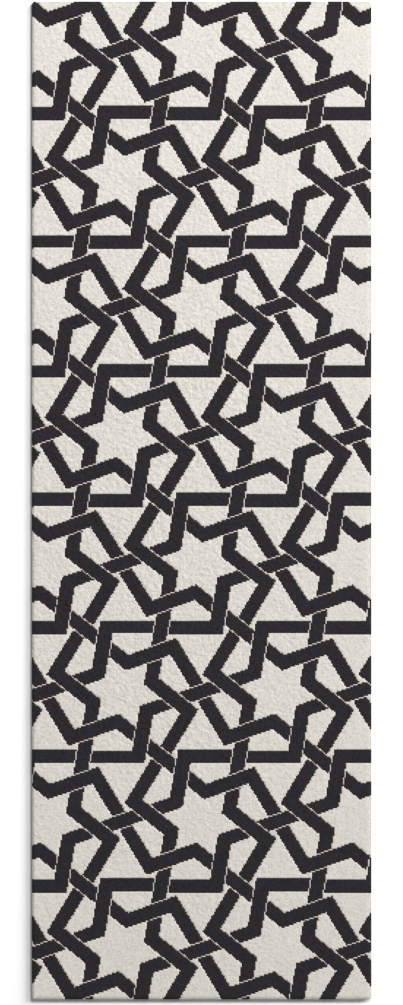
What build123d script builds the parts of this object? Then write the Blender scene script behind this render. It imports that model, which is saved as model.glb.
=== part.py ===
from build123d import *

# Runner rug, 813 x 2390 x 12 mm: cut wool pile in two colours, tufted into a cotton cloth,
# locked with latex, lined with a second cloth and bound with twill tape on all four edges.
# The charcoal pile draws flat straps that weave over and under each other round six-pointed
# ivory stars. Frame: origin at the middle of the underside, +X across the width, +Y along
# the length, +Z up. Millimetres.

import math
import os

# ---- driving dimensions ----
WIDTH = 813.0
LENGTH = 2390.0
CORNER_RADIUS = 8.0

CLOTH = 0.8  # thickness of each woven layer: lining, tape and tufting cloth
LATEX = 1.6  # adhesive between the lining and the tufting cloth
PILE_HEIGHT = 8.8  # tufts above the tufting cloth
HEM_WIDTH = 24.0  # margin of the tufting cloth that is folded under
TAPE_WIDTH = 26.0  # twill tape on the underside, measured from the rug's edge
TAPE_SETBACK = 1.2  # the pile stands out past the tape by this much
THREAD_WIDTH = 0.7
THREAD_DEPTH = 0.4
SEAM_INSET = 4.0  # seam line, in from the tape's inner edge

# ---- the strap pattern ----
STAR_PITCH = 373.7  # between the centres of neighbouring stars in one row
ROW_PITCH = 308.75  # between rows of stars; each row is shifted half a pitch
STAR_ORIGIN = (-6.6, -152.1)  # centre of the star nearest the middle of the rug
LINK_ANGLE = 20.3  # degrees; the pattern's straps run at 0, 60, 120 and 20.3, 80.3, 140.3
BAR_LENGTH = 131.7  # from the middle of a bar to its corner
STRAP_WIDTH = 32.1
LEG_WIDTH = 33.5  # the stretch between a strap's two corners is a little wider
LINE_WIDTH = 3.4  # ivory line beside each strap that passes over another
BAR_SHIFT = 1.3  # each half bar stands off the line through its middle
END_SHIFT = 0.9  # and so does the stretch past the second corner
TRACING_JOIN = -154.0  # the pattern is traced in two lengths, head and foot, which meet here
TRACING_BLEND = 130.0  # the length over which the drawing is eased across the join
TRACING_SLIP = (4.8, 2.3)  # the foot length lies this much to the right and toward the head
SMALLEST_PATCH = 60.0  # mm2; a scrap of strap at the rug's edge smaller than this isn't tufted

# ---- heights of the layers ----
TAPE_TOP = CLOTH
HEM_TOP = TAPE_TOP + CLOTH
CLOTH_BOTTOM = TAPE_TOP + LATEX
PILE_BOTTOM = CLOTH_BOTTOM + CLOTH
PILE_TOP = PILE_BOTTOM + PILE_HEIGHT

# The pattern is drawn on a regular hexagonal net, then pressed flatter along the length.
NET_ROW = STAR_PITCH * math.sqrt(3) / 2
FLATTENING = ROW_PITCH / NET_ROW


# ---- plane geometry on the hexagonal net ----
def direction(degrees):
    return Vector(math.cos(math.radians(degrees)), math.sin(math.radians(degrees)))


def beside(point, along, distance):
    """The point that lies a distance to the left of a line through point."""
    return point + Vector(-along.Y, along.X) * distance


def crossing(p, along_p, q, along_q):
    """Where the line through p meets the line through q."""
    turn = along_p.X * along_q.Y - along_p.Y * along_q.X
    gap = q - p
    return p + along_p * ((gap.X * along_q.Y - gap.Y * along_q.X) / turn)


def turned(point, degrees):
    return point.rotate(Axis.Z, degrees)


def half_turned(points, centre):
    return [centre * 2 - p for p in points]


# ---- the two repeated strap sections, round a star at the net's origin ----
BAR = direction(0)
LEG = direction(60 + LINK_ANGLE)
LINK = direction(LINK_ANGLE)
OVER_LEG = direction(120 + LINK_ANGLE)  # the leg that covers this strap's end
BAR_MIDDLE = Vector(STAR_PITCH / 4, NET_ROW / 2)
LINK_MIDDLE = Vector(-STAR_PITCH / 2, 0)
FIRST_CORNER = BAR_MIDDLE - BAR * BAR_LENGTH
SECOND_CORNER = crossing(FIRST_CORNER, LEG, LINK_MIDDLE, LINK)
OVER_CORNER = turned(FIRST_CORNER, 60)
LINK_CLEARANCE = STRAP_WIDTH / 2 + LINE_WIDTH
LEG_CLEARANCE = LEG_WIDTH / 2 + LINE_WIDTH


def bent_section():
    """From under a link, along a bar, round two corners, and under the next strap's leg."""
    start_cut = beside(BAR_MIDDLE, LEG, LINK_CLEARANCE)
    end_cut = beside(OVER_CORNER, OVER_LEG, -LEG_CLEARANCE)
    sides = []
    for side in (1, -1):
        bar = beside(BAR_MIDDLE, -BAR, side * STRAP_WIDTH / 2 - BAR_SHIFT)
        leg = beside(FIRST_CORNER, -LEG, side * LEG_WIDTH / 2)
        end = beside(SECOND_CORNER, -LINK, side * STRAP_WIDTH / 2 + END_SHIFT)
        sides.append(
            [
                crossing(bar, BAR, start_cut, LEG),
                crossing(bar, BAR, leg, LEG),
                crossing(leg, LEG, end, LINK),
                crossing(end, LINK, end_cut, OVER_LEG),
            ]
        )
    return sides[0] + sides[1][::-1]


def link_section():
    """The short straight stretch between two legs, over the middle of another strap's bar."""
    far_cut = beside(OVER_CORNER, OVER_LEG, LEG_CLEARANCE)
    near_edge = beside(LINK_MIDDLE, LINK, STRAP_WIDTH / 2)
    far_edge = beside(LINK_MIDDLE, LINK, -STRAP_WIDTH / 2)
    end = [crossing(edge, LINK, far_cut, OVER_LEG) for edge in (near_edge, far_edge)]
    return end + half_turned(end, LINK_MIDDLE)


# ---- strands: each runs from one edge of the rug to another, dipping under its neighbours ----
def traced(point):
    """Where a point of the net comes to lie on the rug."""
    x = point.X + STAR_ORIGIN[0]
    y = point.Y * FLATTENING + STAR_ORIGIN[1]
    past_join = (TRACING_JOIN - y) / TRACING_BLEND + 0.5
    slip = min(max(past_join, 0), 1)
    return x + slip * TRACING_SLIP[0], y + slip * TRACING_SLIP[1]


def strand_sections(family, number, steps):
    """Corner lists of one strand's sections, in the rug's own place and proportions."""
    bent = bent_section()
    unit = [bent, link_section(), half_turned(bent, LINK_MIDDLE)]
    outlines = []
    for step in range(-steps, steps + 1):
        shift = Vector((number + 1.5 * step) * STAR_PITCH, step * NET_ROW)
        for section in unit:
            outlines.append([traced(turned(p + shift, 60 * family)) for p in section])
    return outlines


def overlaps_rug(corners):
    xs, ys = zip(*corners)
    across = min(xs) < WIDTH / 2 and max(xs) > -WIDTH / 2
    return across and min(ys) < LENGTH / 2 and max(ys) > -LENGTH / 2


def trimmed_faces(corners, outline):
    """A section's face, cut off at the rug's edge."""
    face = make_face(Polyline(*corners, close=True))
    inside = all(
        abs(x) < WIDTH / 2 - CORNER_RADIUS and abs(y) < LENGTH / 2 - CORNER_RADIUS
        for x, y in corners
    )
    if inside:
        return [face.face()]
    cut = face & outline
    return [f for f in cut.faces() if f.area > SMALLEST_PATCH] if cut else []


def raised(faces, bottom, height):
    """Each face as its own solid, standing on the plane z = bottom."""
    return [extrude(Pos(0, 0, bottom) * f, height, dir=(0, 0, 1)).solid() for f in faces]


def group(solids):
    return Compound(children=solids)


# ---- the layers under the pile ----
def plate(inset, bottom, height):
    """A slab of the rug's outline, drawn in by inset on every side."""
    width, length = WIDTH - 2 * inset, LENGTH - 2 * inset
    outline = RectangleRounded(width, length, max(CORNER_RADIUS - inset, 0.5))
    return extrude(Pos(0, 0, bottom) * outline, height)


FOLD_INSET = TAPE_SETBACK + CLOTH  # outer face of the folded tufting cloth
LINING_INSET = TAPE_WIDTH
HEM_INSET = FOLD_INSET + HEM_WIDTH


def tufting_cloth():
    """The cloth that holds the tufts, with its margins folded under all round."""
    folded = plate(FOLD_INSET, TAPE_TOP, PILE_BOTTOM - TAPE_TOP)
    under_sheet = plate(FOLD_INSET + CLOTH, HEM_TOP, CLOTH_BOTTOM - HEM_TOP)
    inside_hem = plate(HEM_INSET, TAPE_TOP, CLOTH)
    return folded - under_sheet - inside_hem


def latex_coat():
    """Fills the space between the tufting cloth, its folded hem and the lining."""
    over_hem = plate(FOLD_INSET + CLOTH, HEM_TOP, CLOTH_BOTTOM - HEM_TOP)
    inside_hem = plate(HEM_INSET, TAPE_TOP, CLOTH)
    return over_hem + inside_hem


def lining():
    """Canvas glued over the latex, let in between the tapes so that the underside is flat."""
    return extrude(Rectangle(WIDTH - 2 * LINING_INSET, LENGTH - 2 * LINING_INSET), CLOTH)


def tape_side(toward):
    """The quarter of the rug's plan that belongs to one edge, mitred at the corners."""
    half_w, half_l = WIDTH / 2, LENGTH / 2
    spine = half_l - half_w  # where the mitres from two corners meet
    quarters = {
        "right": [(half_w, -half_l), (half_w, half_l), (0, spine), (0, -spine)],
        "left": [(-half_w, -half_l), (-half_w, half_l), (0, spine), (0, -spine)],
        "head": [(-half_w, half_l), (half_w, half_l), (0, spine)],
        "foot": [(-half_w, -half_l), (half_w, -half_l), (0, -spine)],
    }
    face = make_face(Polyline(*quarters[toward], close=True))
    return extrude(face, PILE_TOP)


def seam_line():
    """Centre rectangle of the seam that fastens the tapes, as (width, length)."""
    inset = TAPE_WIDTH - SEAM_INSET
    return WIDTH - 2 * inset, LENGTH - 2 * inset


def seam_threads():
    """Four straight runs of thread, each pulled down into its tape."""
    width, length = seam_line()
    run_x = Box(width - 2 * THREAD_WIDTH, THREAD_WIDTH, THREAD_DEPTH)
    run_y = Box(THREAD_WIDTH, length - 2 * THREAD_WIDTH, THREAD_DEPTH)
    height = THREAD_DEPTH / 2
    return {
        "right": Pos(width / 2, 0, height) * run_y,
        "left": Pos(-width / 2, 0, height) * run_y,
        "head": Pos(0, length / 2, height) * run_x,
        "foot": Pos(0, -length / 2, height) * run_x,
    }


def binding_tapes(threads):
    """Twill tape on each edge: flat on the underside and up the side to the pile."""
    outside = plate(TAPE_SETBACK, 0, PILE_BOTTOM)
    backing = plate(FOLD_INSET, TAPE_TOP, PILE_BOTTOM - TAPE_TOP)
    ring = outside - backing - lining()
    return {side: (ring & tape_side(side)) - threads[side] for side in threads}


# ---- the pile ----
STRAND_FAMILIES = ("rising", "upright", "falling")
MOST_STRANDS = 9
MOST_STEPS = 9


def strap_pile(outline):
    """{node name: faces of one strand}, numbered from the left and from the foot."""
    straps = {}
    for family, slope in enumerate(STRAND_FAMILIES):
        found = []
        for number in range(-MOST_STRANDS, MOST_STRANDS + 1):
            sections = strand_sections(family, number, MOST_STEPS)
            faces = []
            for corners in filter(overlaps_rug, sections):
                faces += trimmed_faces(corners, outline)
            if faces:
                found.append(faces)
        if family:
            found.reverse()
        for count, faces in enumerate(found, 1):
            straps[f"strap_{slope}_{count:02d}"] = faces
    return straps


def ground_pile(outline, straps):
    """Ivory pile everywhere that the straps aren't."""
    ground = outline
    for faces in straps.values():
        ground = ground - faces
    return list(ground.faces())


def main():
    os.makedirs("parts", exist_ok=True)
    outline = RectangleRounded(WIDTH, LENGTH, CORNER_RADIUS)
    straps = strap_pile(outline)
    threads = seam_threads()
    nodes = {
        "ground_pile": group(raised(ground_pile(outline, straps), PILE_BOTTOM, PILE_HEIGHT)),
        "tufting_cloth": tufting_cloth(),
        "latex_coat": latex_coat(),
        "lining_cloth": lining(),
    }
    for name, faces in straps.items():
        nodes[name] = group(raised(faces, PILE_BOTTOM, PILE_HEIGHT))
    for side, tape in binding_tapes(threads).items():
        nodes[f"binding_tape_{side}"] = tape
        nodes[f"seam_thread_{side}"] = threads[side]
    for name, shape in nodes.items():
        export_step(shape, f"parts/{name}.step")
    print(len(nodes), "nodes,", sum(len(shape.solids()) for shape in nodes.values()), "solids")


main()
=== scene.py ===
import math

import bpy
import numpy as np
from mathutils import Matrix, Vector


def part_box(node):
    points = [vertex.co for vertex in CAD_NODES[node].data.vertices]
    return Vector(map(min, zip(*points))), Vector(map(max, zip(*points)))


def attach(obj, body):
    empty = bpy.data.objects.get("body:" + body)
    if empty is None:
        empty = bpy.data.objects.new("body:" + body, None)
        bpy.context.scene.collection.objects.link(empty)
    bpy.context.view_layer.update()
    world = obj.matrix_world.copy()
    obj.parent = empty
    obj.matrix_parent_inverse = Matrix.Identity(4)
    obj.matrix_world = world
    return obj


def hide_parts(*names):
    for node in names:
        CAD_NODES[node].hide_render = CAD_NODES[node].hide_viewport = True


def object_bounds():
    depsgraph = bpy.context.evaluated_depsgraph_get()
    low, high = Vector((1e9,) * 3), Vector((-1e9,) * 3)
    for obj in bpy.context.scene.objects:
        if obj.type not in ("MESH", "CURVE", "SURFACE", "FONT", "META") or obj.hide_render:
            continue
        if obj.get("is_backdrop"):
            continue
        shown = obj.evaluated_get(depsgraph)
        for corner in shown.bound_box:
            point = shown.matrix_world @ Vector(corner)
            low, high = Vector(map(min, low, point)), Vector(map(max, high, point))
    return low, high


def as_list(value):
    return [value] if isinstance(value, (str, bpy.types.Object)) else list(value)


# A cut-pile runner rug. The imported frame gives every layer's place and the straps' outlines;
# this script makes the pile tuft by tuft, the woven layers, the stitching and the light.
# Metres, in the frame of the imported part: origin under the middle, +Y to the head end, +Z up.

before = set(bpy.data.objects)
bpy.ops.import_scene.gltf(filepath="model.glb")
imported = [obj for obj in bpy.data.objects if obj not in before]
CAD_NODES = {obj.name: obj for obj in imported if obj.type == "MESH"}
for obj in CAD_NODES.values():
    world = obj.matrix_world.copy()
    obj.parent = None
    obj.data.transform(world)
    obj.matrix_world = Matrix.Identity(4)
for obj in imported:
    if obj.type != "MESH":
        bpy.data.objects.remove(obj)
CAD_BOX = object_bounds()
MM = 0.001

# ---- driving values ----
TUFT = 3.5 * MM  # spacing of the tufts, along and across
PILE_SETTLE = 0.5 * MM  # trodden pile stands this much lower than the CAD block
DOME = 0.30 * MM  # height of a tuft's crown over its corners
CROWN, SIDE, CORNER_DIP = 0.6, -0.2, -0.4  # shares of it, from the pile's mean level
TUFT_UNEVEN = 0.05 * MM  # how much neighbouring tufts differ in height
CROWDING = 0.6 * MM  # the fuller charcoal tufts lean this far over the ivory beside them
GROOVE = 0.6 * MM  # depth of the parting between the two colours
TUFT_DRIFT = 0.22 * MM  # how far a tuft strays sideways
# Lumps in the pile, small and large: height, size across the rug, size along it.
LUMPS = ((0.05 * MM, 2.4 * MM, 2.4 * MM), (0.2 * MM, 5.0 * MM, 4.3 * MM))
TOUSLED = (-0.1, 0.2)  # x, y of the place where the pile is most uneven
FLATTENED = 0.5  # the share of the lumps' height that is gone at FLATTENED_AT
FLATTENED_AT = (0.5, 1.2)  # distance from that place, along x or along y
RIM_WIDTH = 10.0 * MM  # the pile rolls over towards the rug's edge across this width
RIM_DROP = 1.9 * MM
RIM_BEND = 2.0  # how sharply it rolls over; 1 is a straight slope
RIM_GROOVE = 0.4 * MM  # between neighbouring tufts on the rug's side
# The nap lies to the right and the head: the rim's tips stand this far (x, y) over from their roots.
LEAN_LEFT_FOOT = (1.2 * MM, 0)
LEAN_RIGHT_HEAD = (2.0 * MM, 1.6 * MM)
FOOT_INSET = 1.2 * MM  # the rug's side draws in by this much down to the cloth
SIDE_STEP = 1.6 * MM  # height over the cloth at which it starts to draw in
CORNER = 8.0 * MM  # radius of the rug's corners
LEAST_CORNER = 0.5 * MM  # and of a hidden layer's corner, however far in it lies
HAIR = 0.1 * MM  # two heights or places this close are the same
SEED = 20

PILE_LOW, PILE_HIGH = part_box("ground_pile")
HALF_SIZE = np.array([PILE_HIGH.x, PILE_HIGH.y])
COLUMNS, ROWS = (2 * HALF_SIZE / TUFT).round().astype(int)
TUFT_PITCH = 2 * HALF_SIZE / (COLUMNS, ROWS)
FIRST_TUFT = HALF_SIZE / TUFT_PITCH  # tufts between the left or foot edge and the middle


def smooth_noise(shape, spacing, size_x, size_y, rng):
    """A random field of unit deviation whose bumps have the given sizes, made by blurring noise."""
    rough = np.fft.rfft2(rng.standard_normal(shape))
    fy = np.fft.fftfreq(shape[0], spacing)[:, None]
    fx = np.fft.rfftfreq(shape[1], spacing)[None, :]
    keep = np.exp(-2 * (math.pi**2) * ((fx * size_x / 2) ** 2 + (fy * size_y / 2) ** 2))
    field = np.fft.irfft2(rough * keep, s=shape)
    return field / field.std()


def mesh_from(name, points, faces_by_size):
    """A mesh from points and a list of (n, k) arrays of point numbers, one for each k-sided kind."""
    corners = np.concatenate([f.ravel() for f in faces_by_size])
    sizes = np.concatenate([np.full(len(f), f.shape[1]) for f in faces_by_size])
    mesh = bpy.data.meshes.new(name)
    mesh.vertices.add(len(points))
    mesh.vertices.foreach_set("co", np.asarray(points, np.float32).ravel())
    mesh.loops.add(len(corners))
    mesh.loops.foreach_set("vertex_index", corners.astype(np.int32))
    mesh.polygons.add(len(sizes))
    mesh.polygons.foreach_set("loop_start", (np.cumsum(sizes) - sizes).astype(np.int32))
    mesh.update(calc_edges=True)
    return mesh


def stands_for(node):
    """Hides a CAD node, whose place a piece made beside it takes."""
    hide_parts(node)


def piece_from(mesh, material):
    piece = bpy.data.objects.new(mesh.name, mesh)
    bpy.context.scene.collection.objects.link(piece)
    mesh.materials.append(material)
    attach(piece, "root")
    return piece


# ---- materials ----
FULL_PAINTED_SHADE_HEIGHT = 9.0 * MM  # painted shade darkens the wool from the tips down to here
NO_PAINTED_SHADE_HEIGHT = 11.4 * MM
PAINTED_ROOT_SHADE = 0.66  # how dark the painted shade makes the wool there, next to 1 at the tips
TUFT_SHARE = 0.85  # of a tuft's tone that is its own
LOT_SHARE = 0.3  # of a tuft's tone that it has in common with the tufts near it
SLUB_SHARE = 0.5  # of a thread's tone that comes from slubs; the rest is painted shade, darker where the weave dips
LOT_NOISE, WOOL_FIBRE_NOISE = 28.0, 900.0  # noise scales are in bumps to the metre
SLUB_NOISE, YARN_FIBRE_NOISE = 160.0, 1500.0
LATEX_CLOUD_NOISE, LATEX_GRAIN_NOISE = 45.0, 420.0
BAND_PERIOD = math.pi / 10  # of a wave texture of scale 1, for bands square to an axis
DIAGONAL_PERIOD = math.pi / 5  # and for slanting bands, along an axis


class Nodes:
    """A material's node tree, with short calls to add and join its nodes."""

    def __init__(self, name):
        self.material = bpy.data.materials.new(name)
        self.material.use_nodes = True
        self.tree = self.material.node_tree
        self.shader = self.tree.nodes["Principled BSDF"]
        self.place = self.add("ShaderNodeTexCoord").outputs["Object"]

    def add(self, kind, inputs=None, **settings):
        node = self.tree.nodes.new(kind)
        for key, value in settings.items():
            setattr(node, key, value)
        for key, value in (inputs or {}).items():
            if isinstance(value, bpy.types.NodeSocket):
                self.tree.links.new(value, node.inputs[key])
            else:
                node.inputs[key].default_value = value
        return node

    def join(self, output, key):
        self.tree.links.new(output, self.shader.inputs[key])

    def noise(self, scale, detail, roughness=0.5):
        settings = {"Vector": self.place, "Scale": scale, "Detail": detail}
        return self.add("ShaderNodeTexNoise", {**settings, "Roughness": roughness}).outputs["Fac"]

    def wave(self, direction, scale):
        settings = {"Vector": self.place, "Scale": scale}
        wave = self.add("ShaderNodeTexWave", settings, bands_direction=direction)
        return wave.outputs["Fac"]

    def math(self, operation, a, b=0.0, c=0.0):
        return self.add("ShaderNodeMath", {0: a, 1: b, 2: c}, operation=operation).outputs[0]

    def vector(self, operation, *values):
        inputs = dict(enumerate(values))
        return self.add("ShaderNodeVectorMath", inputs, operation=operation).outputs[0]

    def bump(self, height, depth, strength, under=None):
        node = self.add("ShaderNodeBump", {"Height": height, "Distance": depth, "Strength": strength})
        if under is not None:
            self.tree.links.new(under, node.inputs["Normal"])
        return node.outputs["Normal"]

    def between(self, share, dark, light):
        mix = self.add("ShaderNodeMix", {0: share}, data_type="RGBA")
        mix.inputs[6].default_value = (*dark, 1)
        mix.inputs[7].default_value = (*light, 1)
        return mix.outputs[2]


def wool(name, dark, light, sheen):
    """Cut wool: most tufts are near the light tone, with fewer and fewer toward the dark one."""
    nodes = Nodes(name)
    counted = nodes.vector("MULTIPLY_ADD", nodes.place, (*(1 / TUFT_PITCH), 0), (*FIRST_TUFT, 0))
    tuft = nodes.vector("FLOOR", counted)
    tuft_tone = nodes.add("ShaderNodeTexWhiteNoise", {"Vector": tuft}).outputs["Value"]
    lot_tone = nodes.math("MULTIPLY", nodes.noise(LOT_NOISE, 3.0), LOT_SHARE)
    tone = nodes.math("MULTIPLY_ADD", nodes.math("SQRT", tuft_tone), TUFT_SHARE, lot_tone)
    # Painted shade: the colour is scaled darker from the tips down toward the roots, by height
    height = nodes.add("ShaderNodeSeparateXYZ", {0: nodes.place}).outputs["Z"]
    depth = {"Value": height, "From Min": FULL_PAINTED_SHADE_HEIGHT, "From Max": NO_PAINTED_SHADE_HEIGHT, "To Min": PAINTED_ROOT_SHADE}
    painted_shade_scale = nodes.add("ShaderNodeMapRange", depth).outputs["Result"]
    colour = {0: nodes.between(tone, dark, light), "Scale": painted_shade_scale}
    nodes.join(nodes.add("ShaderNodeVectorMath", colour, operation="SCALE").outputs[0], "Base Color")
    fibres = nodes.noise(WOOL_FIBRE_NOISE, 4.0, 0.7)
    nodes.join(nodes.bump(fibres, 0.25 * MM, 0.5), "Normal")
    nodes.shader.inputs["Roughness"].default_value = 0.95
    nodes.shader.inputs["Specular IOR Level"].default_value = 0.12
    nodes.shader.inputs["Sheen Weight"].default_value = sheen
    nodes.shader.inputs["Sheen Roughness"].default_value = 0.6
    return nodes.material


def woven(name, dark, light, pitch, twill=False, roughness=0.9):
    """Cloth: a plain weave's chequered rise and fall, or a twill's slanting ribs, with painted shade
    that darkens the colour where the threads dip.
    """
    nodes = Nodes(name)
    if twill:
        rise = nodes.wave("DIAGONAL", DIAGONAL_PERIOD / pitch)
    else:
        warp = nodes.math("MULTIPLY_ADD", nodes.wave("X", BAND_PERIOD / pitch), 2.0, -1.0)
        weft = nodes.math("MULTIPLY_ADD", nodes.wave("Y", BAND_PERIOD / pitch), 2.0, -1.0)
        rise = nodes.math("MULTIPLY_ADD", nodes.math("MULTIPLY", warp, weft), 0.5, 0.5)
    slubs = nodes.math("MULTIPLY", nodes.noise(SLUB_NOISE, 3.0, 0.6), SLUB_SHARE)
    # Painted shade: the colour follows the weave's rise, darker where the threads dip; the slubs are
    # the yarn's own
    tone = nodes.math("MULTIPLY_ADD", rise, 1 - SLUB_SHARE, slubs)
    nodes.join(nodes.between(tone, dark, light), "Base Color")
    fibres = nodes.bump(nodes.noise(YARN_FIBRE_NOISE, 3.0), 0.05 * MM, 0.5)
    nodes.join(nodes.bump(rise, 0.25 * MM, 0.8, under=fibres), "Normal")
    nodes.shader.inputs["Roughness"].default_value = roughness
    nodes.shader.inputs["Specular IOR Level"].default_value = 0.2
    nodes.shader.inputs["Sheen Weight"].default_value = 0.1
    return nodes.material


def cured_latex(name, dark, light):
    nodes = Nodes(name)
    nodes.join(nodes.between(nodes.noise(LATEX_CLOUD_NOISE, 4.0), dark, light), "Base Color")
    nodes.join(nodes.bump(nodes.noise(LATEX_GRAIN_NOISE, 3.0), 0.3 * MM, 0.6), "Normal")
    nodes.shader.inputs["Roughness"].default_value = 0.55
    return nodes.material


IVORY = wool("ivory_wool", (0.468, 0.446, 0.403), (0.627, 0.604, 0.554), 0.10)
CHARCOAL = wool("charcoal_wool", (0.0085, 0.0076, 0.0090), (0.0212, 0.0194, 0.0218), 0.03)
TUFTING_COTTON = woven("tufting_cotton", (0.42, 0.38, 0.30), (0.64, 0.59, 0.49), 1.3 * MM)
LATEX = cured_latex("cured_latex", (0.55, 0.50, 0.38), (0.66, 0.62, 0.50))
LINING_CANVAS = woven("lining_canvas", (0.33, 0.28, 0.20), (0.55, 0.49, 0.38), 1.8 * MM)
BINDING_TWILL = woven("binding_twill", (0.38, 0.35, 0.29), (0.60, 0.56, 0.48), 1.6 * MM, twill=True)
SEWING_THREAD = woven(
    "sewing_thread", (0.50, 0.47, 0.41), (0.70, 0.67, 0.60), 0.5 * MM, twill=True, roughness=0.6
)


# ---- the pile: tufts on a grid, each with one colour ----
# A tuft has a point at its crown, at its four corners and at the middle of its four sides.
ACROSS = 2 * COLUMNS + 1  # points in one row
COUNT = ACROSS * (2 * ROWS + 1)
GROUND = 0
STRAPS = sorted(n for n in CAD_NODES if n.startswith("strap_"))
rng = np.random.default_rng(SEED)


def even_plan():
    """Plan of the grid's points, square cornered."""
    x = np.linspace(-HALF_SIZE[0], HALF_SIZE[0], ACROSS)
    y = np.linspace(-HALF_SIZE[1], HALF_SIZE[1], 2 * ROWS + 1)
    return np.stack(np.meshgrid(x, y), axis=-1)


def top_triangles(node):
    """Plan corners of the triangles on a CAD node's upper face, as an (n, 3, 2) array."""
    mesh = CAD_NODES[node].data
    mesh.calc_loop_triangles()
    points = np.array([v.co for v in mesh.vertices])
    corners = np.array([t.vertices for t in mesh.loop_triangles])
    top = points[:, 2].max() - HAIR
    return points[corners[(points[corners][:, :, 2] > top).all(axis=1)]][:, :, :2]


def tuft_owners(plan):
    """Which strap each tuft belongs to: GROUND, or one more than the strap's place in STRAPS."""
    crowns = plan[1::2, 1::2]
    owner = np.full(crowns.shape[:2], GROUND)
    for number, node in enumerate(STRAPS, 1):
        for a, b, c in top_triangles(node):
            low = np.minimum(np.minimum(a, b), c)
            high = np.maximum(np.maximum(a, b), c)
            first = np.maximum(np.floor((low + HALF_SIZE) / TUFT_PITCH).astype(int) - 1, 0)
            last = np.ceil((high + HALF_SIZE) / TUFT_PITCH).astype(int) + 1
            here = np.s_[first[1] : last[1], first[0] : last[0]]
            x, y = crowns[here][..., 0], crowns[here][..., 1]
            sides = [
                (q[0] - p[0]) * (y - p[1]) - (q[1] - p[1]) * (x - p[0])
                for p, q in ((a, b), (b, c), (c, a))
            ]
            left, right = (np.array(sides) >= 0).all(axis=0), (np.array(sides) <= 0).all(axis=0)
            owner[here][left | right] = number
    return owner


def beyond_core(plan):
    """How far each point lies past the rectangle inside the round corners, without sign."""
    return np.maximum(np.abs(plan) - (HALF_SIZE - CORNER), 0)


def round_cornered(plan, inset=0.0):
    """Eases square corners into round ones, for points on or within an outline at that inset."""
    reach = beyond_core(plan)
    radius = np.maximum(CORNER - inset, LEAST_CORNER)
    eased = reach * np.sqrt(1 - np.minimum(reach[..., ::-1] / radius, 1) ** 2 / 2)
    return np.sign(plan) * (np.abs(plan) - reach + eased)


def outward(plan):
    """Direction off the rug, fading from a unit vector at the outline to nothing inside."""
    return np.sign(plan) * beyond_core(plan) / CORNER


def nap_lean(out):
    """How far the rim's tips stand over from their roots, given the direction off the rug."""
    return np.abs(out) * np.where(out > 0, LEAN_RIGHT_HEAD, LEAN_LEFT_FOOT)


def pile_surface(owner):
    """The pile's upper surface, as an array of points."""
    even = even_plan()
    shape = even.shape[:2]
    row, column = np.indices(shape)
    from_edge = (HALF_SIZE - np.abs(even)).min(axis=-1)
    height = np.full(shape, PILE_HIGH.z - PILE_SETTLE)
    tousle = (1 - FLATTENED * ((even - TOUSLED) / FLATTENED_AT) ** 2).prod(axis=-1)
    for size, across, along in LUMPS:
        height += size * tousle * smooth_noise(shape, TUFT / 2, across, along, rng)
    crown = (row % 2 == 1) & (column % 2 == 1)
    corner = (row % 2 == 0) & (column % 2 == 0)
    height += DOME * np.where(crown, CROWN, np.where(corner, CORNER_DIP, SIDE))
    height += TUFT_UNEVEN * rng.standard_normal(shape) * crown
    is_strap = np.repeat(np.repeat(owner > GROUND, 2, axis=0), 2, axis=1)
    padded = np.pad(is_strap, 1, mode="edge")
    around = [padded[:-1, :-1], padded[:-1, 1:], padded[1:, :-1], padded[1:, 1:]]
    height -= GROOVE * (np.any(around, axis=0) & ~np.all(around, axis=0))
    sw, se, nw, ne = (cells.astype(float) for cells in around)
    to_strap = np.dstack([se + ne - sw - nw, nw + ne - sw - se])
    crowded = CROWDING * to_strap / np.maximum(np.linalg.norm(to_strap, axis=-1), 1)[..., None]
    rim = np.clip(1 - from_edge / RIM_WIDTH, 0, 1)
    height -= RIM_DROP * rim**RIM_BEND
    drift = rng.uniform(-TUFT_DRIFT, TUFT_DRIFT, even.shape)
    drift *= np.clip(from_edge / TUFT, 0, 1)[..., None]
    groove = RIM_GROOVE * ((row + column) % 2 == 0) * (from_edge < HAIR)
    out = outward(even)
    plan = round_cornered(even) + drift - crowded - out * groove[..., None]
    return np.dstack([plan + nap_lean(out), height])


def pile_levels(surface):
    """The surface's points, then those of the side's step and of the foot, in one list, twice over.

    The second copy is for a tuft that touches one of its own colour only at a corner."""
    out = outward(even_plan())
    shape = surface.shape[:2]
    step = np.dstack([surface[..., :2], np.full(shape, PILE_LOW.z + SIDE_STEP)])
    roots = surface[..., :2] - out * FOOT_INSET - nap_lean(out)
    foot = np.dstack([roots, np.full(shape, PILE_LOW.z)])
    once = np.concatenate([level.reshape(-1, 3) for level in (surface, step, foot)])
    return np.concatenate([once, once])


STEP = COUNT  # added to a surface point's number, gives the point below it on the side's step
FOOT = 2 * COUNT
COPY = 3 * COUNT


def pinched_corners(mine):
    """True at each tuft corner where two of the colour's tufts touch and share no side."""
    wide = np.pad(mine, 1)
    sw, se, nw, ne = wide[:-1, :-1], wide[:-1, 1:], wide[1:, :-1], wide[1:, 1:]
    return (sw & ne & ~se & ~nw) | (se & nw & ~sw & ~ne)


def stack(*columns):
    return np.stack(columns, axis=1)


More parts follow.
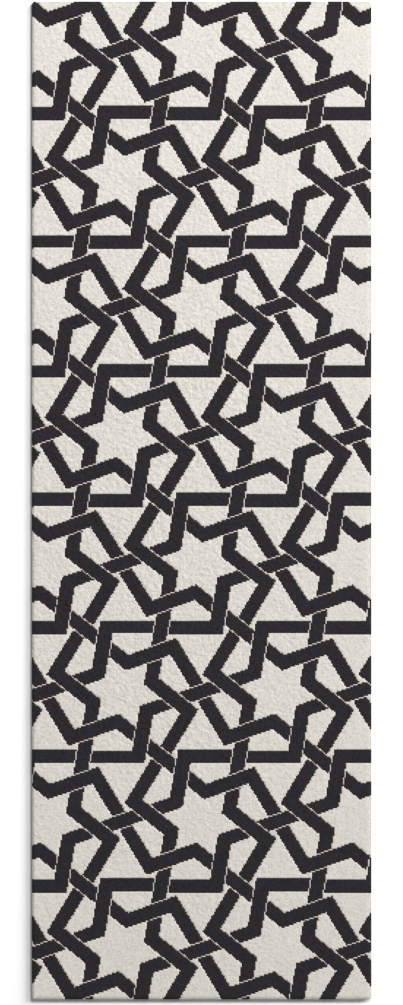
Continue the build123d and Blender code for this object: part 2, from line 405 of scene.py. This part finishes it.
def pile_piece(name, mine, levels, material):
    """One colour's pile as a closed mesh: tufted top, sides down to the cloth, and underside."""
    row, column = np.nonzero(mine)
    sw = 2 * row * ACROSS + 2 * column
    pinched = pinched_corners(mine)
    # Each tuft's eight outer points, anticlockwise from its left foot corner.
    ring = [sw, sw + 1, sw + 2, sw + 2 + ACROSS, sw + 2 + 2 * ACROSS]
    ring += [sw + 1 + 2 * ACROSS, sw + 2 * ACROSS, sw + ACROSS]
    ring[0] = ring[0] + COPY * pinched[row, column]
    ring[2] = ring[2] + COPY * pinched[row, column + 1]
    crown = sw + 1 + ACROSS
    tops = [stack(ring[k], ring[k + 1], crown, ring[k - 1]) for k in (0, 2, 4, 6)]
    undersides = stack(*ring[6::-2]) + FOOT

    rim, walls = [], {5: [], 6: []}  # walls by their number of corners
    wide = np.pad(mine, 1)
    for side, (down, right) in enumerate(((-1, 0), (0, 1), (1, 0), (0, -1))):
        a, middle, b = ring[2 * side], ring[2 * side + 1], ring[(2 * side + 2) % 8]
        next_row, next_column = row + down, column + right
        bare = ~wide[1 + next_row, 1 + next_column]
        off_rug = (next_row < 0) | (next_row >= ROWS) | (next_column < 0) | (next_column >= COLUMNS)
        a, middle, b = a[bare], middle[bare], b[bare]
        off_rug = off_rug[bare]
        on_outline = [outline_point(end) for end in (a, b)]
        rim.append(stack(a + STEP, middle + STEP, middle, a)[off_rug])
        rim.append(stack(middle + STEP, b + STEP, b, middle)[off_rug])
        walls[5].append(stack(a + FOOT, b + FOOT, b + STEP, middle + STEP, a + STEP)[off_rug])
        at_a, at_b = (ends & ~off_rug for ends in on_outline)
        walls[6].append(stack(a + FOOT, b + FOOT, b, middle, a, a + STEP)[at_a])
        walls[6].append(stack(a + FOOT, b + FOOT, b + STEP, b, middle, a)[at_b])
        inner = ~off_rug & ~at_a & ~at_b
        walls[5].append(stack(a + FOOT, b + FOOT, b, middle, a)[inner])

    smooth = [np.concatenate(tops + rim)]
    flat = [np.concatenate(walls[5]), np.concatenate(walls[6]), undersides]
    faces = [f for f in smooth + flat if len(f)]
    used, numbers = np.unique(np.concatenate([f.ravel() for f in faces]), return_inverse=True)
    starts = np.cumsum([0] + [f.size for f in faces])
    faces = [numbers[k : k + f.size].reshape(f.shape) for k, f in zip(starts, faces)]
    mesh = mesh_from(name, levels[used], faces)
    flat_from = len(smooth[0])
    set_sharp(mesh, "sharp_face", "FACE", np.arange(len(mesh.polygons)) >= flat_from)
    set_sharp(mesh, "sharp_edge", "EDGE", valley_edges(mesh, used))
    return piece_from(mesh, material)


def outline_point(number):
    """True for a point on the rug's outline."""
    row, column = np.divmod(number % COUNT, ACROSS)
    return (row == 0) | (row == 2 * ROWS) | (column == 0) | (column == 2 * COLUMNS)


def valley_edges(mesh, used):
    """True for the top edges along which two tufts meet."""
    ends = np.zeros(len(mesh.edges) * 2, np.int32)
    mesh.edges.foreach_get("vertices", ends)
    ends = used[ends.reshape(-1, 2)]
    on_top = (ends % COPY < COUNT).all(axis=1)
    row, column = np.divmod(ends % COUNT, ACROSS)
    along_row = (row[:, 0] == row[:, 1]) & (row[:, 0] % 2 == 0)
    along_column = (column[:, 0] == column[:, 1]) & (column[:, 0] % 2 == 0)
    return on_top & (along_row | along_column)


def set_sharp(mesh, name, domain, values):
    mesh.attributes.new(name, "BOOLEAN", domain).data.foreach_set("value", values)


def make_pile():
    """The ivory ground, the list of charcoal straps, and the share of the tufts that is ivory."""
    owner = tuft_owners(even_plan())
    levels = pile_levels(pile_surface(owner))
    ground = pile_piece("ground_pile_tufts", owner == GROUND, levels, IVORY)
    stands_for("ground_pile")
    straps = []
    for number, node in enumerate(STRAPS, 1):
        strap = pile_piece(f"{node}_tufts", owner == number, levels, CHARCOAL)
        stands_for(node)
        straps.append(strap)
    return ground, straps, (owner == GROUND).mean()


# ---- the layers under the pile ----
# A profile is a list of (inset from the rug's edge, height) points, from a layer's top middle
# outward over its edge to its bottom middle. Each is swept round the rug's rectangle.
CLOTH = 0.8 * MM
HEM_WIDTH = 24 * MM
SHEET_CELL = 16 * MM  # spacing of a sheet's grid lines
EDGE_LINES = np.array([1.5, 3.5, 6.0, 9.0]) * MM  # closer grid lines, for the round corners
SLACK = 0.04 * MM  # how far the canvas is from flat
SWAY_SIZE = 60 * MM  # size of its waves
TAPE_STEP = 6 * MM  # from one section of the tape to the next
SEAM_INSET = 22 * MM  # seam line, in from the rug's edge
SEAM_WIDTH = 0.7 * MM
SEAM_DEPTH = 0.4 * MM
SEAM_FLARE = 1.4  # how much wider the seam's groove is at the tape's face than at its bottom
STITCH = 6 * MM  # from one stitch to the next
STITCH_GAP = 1.1 * MM
STITCH_TAPER = 0.75  # share of a stitch's section that is lost at its ends
STITCH_RINGS = 7  # sections along a stitch
STITCH_SIDES = 8  # points round each section
ARC_POINTS = 7


def lines_along(half, spacing):
    """Places from one edge to the other, closer at both ends."""
    reach = half - EDGE_LINES[-1]
    middle = np.linspace(-reach, reach, int(2 * reach / spacing) + 1)
    ends = half - np.append(0, EDGE_LINES[:-1])
    return np.concatenate([-ends, middle, ends[::-1]])


def inset_of(node):
    """How far in from the rug's edge a layer of the CAD ends."""
    return HALF_SIZE[0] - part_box(node)[1].x


def arc(centre, radius, start, end):
    """Part of a circle in a profile; 90 degrees is up and 0 is outward."""
    turn = np.radians(np.linspace(start, end, ARC_POINTS))
    return [(centre[0] - radius * math.cos(a), centre[1] + radius * math.sin(a)) for a in turn]


def grid_quads(numbers):
    """Upward faces of a sheet, from a grid of point numbers."""
    a, b, c, d = numbers[:-1, :-1], numbers[:-1, 1:], numbers[1:, 1:], numbers[1:, :-1]
    return stack(a.ravel(), b.ravel(), c.ravel(), d.ravel())


def round_the_rim(grid):
    """The outer entries of a grid in a row, anticlockwise."""
    return np.concatenate([grid[0, :-1], grid[:-1, -1], grid[-1, :0:-1], grid[:0:-1, 0]])


def swept_sheet(name, profile, material, slack=0.0):
    """A sheet whose edge has the given profile all the way round."""
    x, y = (lines_along(half, SHEET_CELL) / half for half in HALF_SIZE)
    plan = np.stack(np.meshgrid(x, y), axis=-1)
    numbers = np.arange(plan[..., 0].size).reshape(plan.shape[:2])
    rim_plan, rim_count = round_the_rim(plan), len(round_the_rim(numbers))
    waves = smooth_noise(numbers.shape, SHEET_CELL, SWAY_SIZE, SWAY_SIZE, rng)
    sway = slack * np.clip(waves, -2, 2)

    def middle(inset, z):
        eased = round_cornered(plan * (HALF_SIZE - inset), inset)
        return np.dstack([eased, z + sway]).reshape(-1, 3)

    def ring(inset, z):
        eased = round_cornered(rim_plan * (HALF_SIZE - inset), inset)
        return np.column_stack([eased, np.full(rim_count, z)])

    between = profile[1:-1]
    points = [middle(*profile[0])] + [ring(*p) for p in between] + [middle(*profile[-1])]
    first_ring, bottom = numbers.size, numbers.size + rim_count * len(between)
    rings = [round_the_rim(numbers)]
    rings += [first_ring + k * rim_count + np.arange(rim_count) for k in range(len(between))]
    rings.append(bottom + rings[0])
    quads = [grid_quads(numbers), bottom + grid_quads(numbers)[:, ::-1]]
    for upper, lower in zip(rings, rings[1:]):
        quads.append(stack(lower, np.roll(lower, -1), np.roll(upper, -1), upper))
    mesh = mesh_from(name, np.concatenate(points), [np.concatenate(quads)])
    return piece_from(mesh, material)


def folded_cloth():
    """The tufting cloth: over the top, round the fold, and back under as a hem."""
    low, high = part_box("tufting_cloth")
    fold = (high.z - low.z) / 2
    centre = (inset_of("tufting_cloth") + fold, low.z + fold)
    hem = inset_of("tufting_cloth") + HEM_WIDTH
    cut_edge = [(hem - CLOTH / 2, low.z), (hem, low.z + CLOTH / 2), (hem - CLOTH / 2, low.z + CLOTH)]
    profile = arc(centre, fold, 90, -90) + cut_edge + arc(centre, fold - CLOTH, -90, 90)
    sheet = swept_sheet("tufting_cloth_folded", profile, TUFTING_COTTON)
    stands_for("tufting_cloth")
    cut = 2 * (HALF_SIZE - centre[0]) + math.pi * (2 * fold - CLOTH) + 2 * (hem - centre[0])
    return sheet, [float(side) for side in cut]


def latex_layer():
    """Fills the fold and the field inside the hem."""
    low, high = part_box("latex_coat")
    fold = (high.z - low.z - CLOTH) / 2
    centre = (inset_of("latex_coat") + fold, high.z - fold)
    hem = inset_of("tufting_cloth") + HEM_WIDTH
    profile = arc(centre, fold, 90, -90) + [(hem, low.z + CLOTH), (hem, low.z)]
    layer = swept_sheet("latex_layer", profile, LATEX)
    stands_for("latex_coat")
    return layer


def canvas_sheet():
    """The lining, let in between the tapes."""
    low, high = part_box("lining_cloth")
    inset, bevel = inset_of("lining_cloth"), CLOTH / 4
    top, bottom = high.z - 2 * SLACK, low.z + 2 * SLACK
    profile = [(inset + bevel, top), (inset, top - bevel)]
    profile += [(inset, bottom + bevel), (inset + bevel, bottom)]
    sheet = swept_sheet("lining_canvas_sheet", profile, LINING_CANVAS, SLACK)
    stands_for("lining_cloth")
    return sheet, (2 * high.x, 2 * high.y)


# The four edges in turn: each is the right edge turned by so many quarters.
EDGES = {"right": 0, "head": 1, "left": 2, "foot": 3}


def on_edge(quarters, across, along, height, inset):
    """Points beside an edge, given as if it were the right one: across is x and along is y."""
    turned = [(across, along), (-along, across), (-across, -along), (along, -across)][quarters]
    plan = round_cornered(np.stack(turned, axis=-1), inset)
    return np.concatenate([plan, height[..., None]], axis=-1).reshape(-1, 3)


def tube_quads(count, around):
    """Faces of a tube of count sections, each of so many points, open at both ends."""
    numbers = np.arange(count * around).reshape(count, around)
    here, there = numbers[:-1], numbers[1:]
    wrapped = [np.roll(n, -1, axis=1) for n in (here, there)]
    return stack(there.ravel(), wrapped[1].ravel(), wrapped[0].ravel(), here.ravel())


def tape(edge, quarters):
    """Twill tape from the seam under the rug, round the fold, and up its side to the pile."""
    low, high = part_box("tufting_cloth")
    fold = (high.z - low.z) / 2
    inner, outer = inset_of("tufting_cloth"), inset_of("binding_tape_right")
    centre = (inner + fold, low.z + fold)
    edge_inset, half_seam = inset_of("lining_cloth"), SEAM_WIDTH / 2
    groove = [
        (SEAM_INSET + SEAM_FLARE * half_seam, 0),
        (SEAM_INSET + half_seam, SEAM_DEPTH),
        (SEAM_INSET - half_seam, SEAM_DEPTH),
        (SEAM_INSET - SEAM_FLARE * half_seam, 0),
    ]
    profile = [(edge_inset, CLOTH), (edge_inset, 0), *groove]
    profile += arc(centre, fold + CLOTH, -90, 0) + [(outer, high.z - CLOTH / 4)]
    profile += [((inner + outer) / 2, high.z), (inner, high.z - CLOTH / 4)]
    profile += arc(centre, fold, 0, -90)
    inset, height = np.array(profile).T
    across, along = HALF_SIZE[[quarters % 2, 1 - quarters % 2]]
    share = lines_along(along, TAPE_STEP)[:, None] / along
    count = len(share)
    width = np.broadcast_to(across - inset, (count, len(inset)))
    run = share * (along - inset)
    points = on_edge(quarters, width, run, np.broadcast_to(height, width.shape), inset[:, None])
    around = len(profile)
    start = np.arange(around)[None]
    caps = np.concatenate([start, start[:, ::-1] + (count - 1) * around])
    mesh = mesh_from(f"twill_tape_{edge}", points, [tube_quads(count, around), caps])
    piece = piece_from(mesh, BINDING_TWILL)
    stands_for(f"binding_tape_{edge}")
    return piece


def stitches(edge, quarters):
    """One row of stitches, each a short length of thread that dips into the tape at both ends."""
    across, along = HALF_SIZE[[quarters % 2, 1 - quarters % 2]] - SEAM_INSET
    count = int(2 * along / STITCH)
    middles = (np.arange(count) - (count - 1) / 2) * (2 * along / count)
    reach = np.linspace(-1, 1, STITCH_RINGS)
    turn = np.arange(STITCH_SIDES) * 2 * math.pi / STITCH_SIDES
    thin = np.sqrt(1 - STITCH_TAPER * reach**4)[:, None]
    width = SEAM_WIDTH / 2 * thin * np.cos(turn)
    height = SEAM_DEPTH / 2 * (1 + thin * np.sin(turn)) + SEAM_DEPTH / 2 * reach[:, None] ** 4
    shape = (count, STITCH_RINGS, STITCH_SIDES)
    run = middles[:, None, None] + (STITCH - STITCH_GAP) / 2 * reach[:, None]
    points = on_edge(
        quarters,
        np.broadcast_to(across + width, shape),
        np.broadcast_to(run, shape),
        np.broadcast_to(height, shape),
        SEAM_INSET,
    )
    one = STITCH_RINGS * STITCH_SIDES
    shift = one * np.arange(count)[:, None, None]
    sides = (tube_quads(STITCH_RINGS, STITCH_SIDES) + shift).reshape(-1, 4)
    start = np.arange(STITCH_SIDES)[None]
    caps = np.concatenate([start, start[:, ::-1] + one - STITCH_SIDES])
    caps = (caps + shift).reshape(-1, STITCH_SIDES)
    mesh = mesh_from(f"stitches_{edge}", points, [sides, caps])
    piece = piece_from(mesh, SEWING_THREAD)
    stands_for(f"seam_thread_{edge}")
    return piece


def make_rug():
    """Makes every piece of the rug; the cloth's and the canvas's cut sizes come back but are not
    kept.
    """
    ground, straps, ground_share = make_pile()
    cloth, cloth_cut = folded_cloth()
    latex = latex_layer()
    canvas, canvas_cut = canvas_sheet()
    binding = [make(edge, turns) for make in (tape, stitches) for edge, turns in EDGES.items()]
    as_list(straps)


# ---- floor, light and camera ----
FLOOR_HALF = 100.0
FLOOR_TONE = 0.96
SUN_ENERGY, SUN_SPREAD, SUN_PLACE = 4.0, math.radians(32), (5.4, 3.1, 2.3)
SOFTBOX_ENERGY, SOFTBOX_SIZE, SOFTBOX_PLACE = 275, 2.0, (1.8, 3.4, 4.8)
SURROUND = 0.25  # strength of the even white light from all round
VIEW_LENGTH = 2.408  # what the picture's long side takes in, at the height of the rug's top
VIEW_CENTRE = (0.0012, -0.0042)
CAMERA_HEIGHT = 16.0
SENSOR = 36.0


def make_floor():
    corners = [(-1, -1), (1, -1), (1, 1), (-1, 1)]
    points = np.array([(x * FLOOR_HALF, y * FLOOR_HALF, CAD_BOX[0].z) for x, y in corners])
    nodes = Nodes("studio_floor")
    nodes.shader.inputs["Base Color"].default_value = (FLOOR_TONE, FLOOR_TONE, FLOOR_TONE, 1)
    nodes.shader.inputs["Roughness"].default_value = 1.0
    nodes.shader.inputs["Specular IOR Level"].default_value = 0.0
    mesh = mesh_from("studio_floor", points, [np.array([[0, 1, 2, 3]])])
    floor = bpy.data.objects.new(mesh.name, mesh)
    bpy.context.scene.collection.objects.link(floor)
    mesh.materials.append(nodes.material)
    floor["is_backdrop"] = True


def aim(thing, place):
    """Puts a light at a place, pointing at the rug's middle."""
    thing.location = place
    thing.rotation_mode = "QUATERNION"
    thing.rotation_quaternion = (-Vector(place)).to_track_quat("-Z", "Y")
    bpy.context.scene.collection.objects.link(thing)


def make_lights():
    sun = bpy.data.lights.new("key_sun", "SUN")
    sun.energy = SUN_ENERGY
    sun.angle = SUN_SPREAD
    aim(bpy.data.objects.new("key_sun", sun), SUN_PLACE)
    head = bpy.data.lights.new("head_softbox", "AREA")
    head.energy = SOFTBOX_ENERGY
    head.size = SOFTBOX_SIZE
    softbox = bpy.data.objects.new("head_softbox", head)
    aim(softbox, SOFTBOX_PLACE)
    softbox.visible_camera = False
    world = bpy.data.worlds.new("studio")
    world.use_nodes = True
    world.node_tree.nodes["Background"].inputs["Color"].default_value = (1, 1, 1, 1)
    world.node_tree.nodes["Background"].inputs["Strength"].default_value = SURROUND
    bpy.context.scene.world = world


def make_camera():
    data = bpy.data.cameras.new("camera")
    data.sensor_width = SENSOR
    data.lens = SENSOR * (CAMERA_HEIGHT - CAD_BOX[1].z) / VIEW_LENGTH
    data.clip_end = 2 * FLOOR_HALF
    camera = bpy.data.objects.new("camera", data)
    camera.location = (*VIEW_CENTRE, CAMERA_HEIGHT)
    bpy.context.scene.collection.objects.link(camera)
    bpy.context.scene.camera = camera


make_floor()
make_lights()
make_camera()
bpy.context.scene.view_settings.view_transform = "Standard"
make_rug()

both = {"cad": CAD_BOX, "visual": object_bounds()}
{name: [list(corner) for corner in box] for name, box in both.items()}
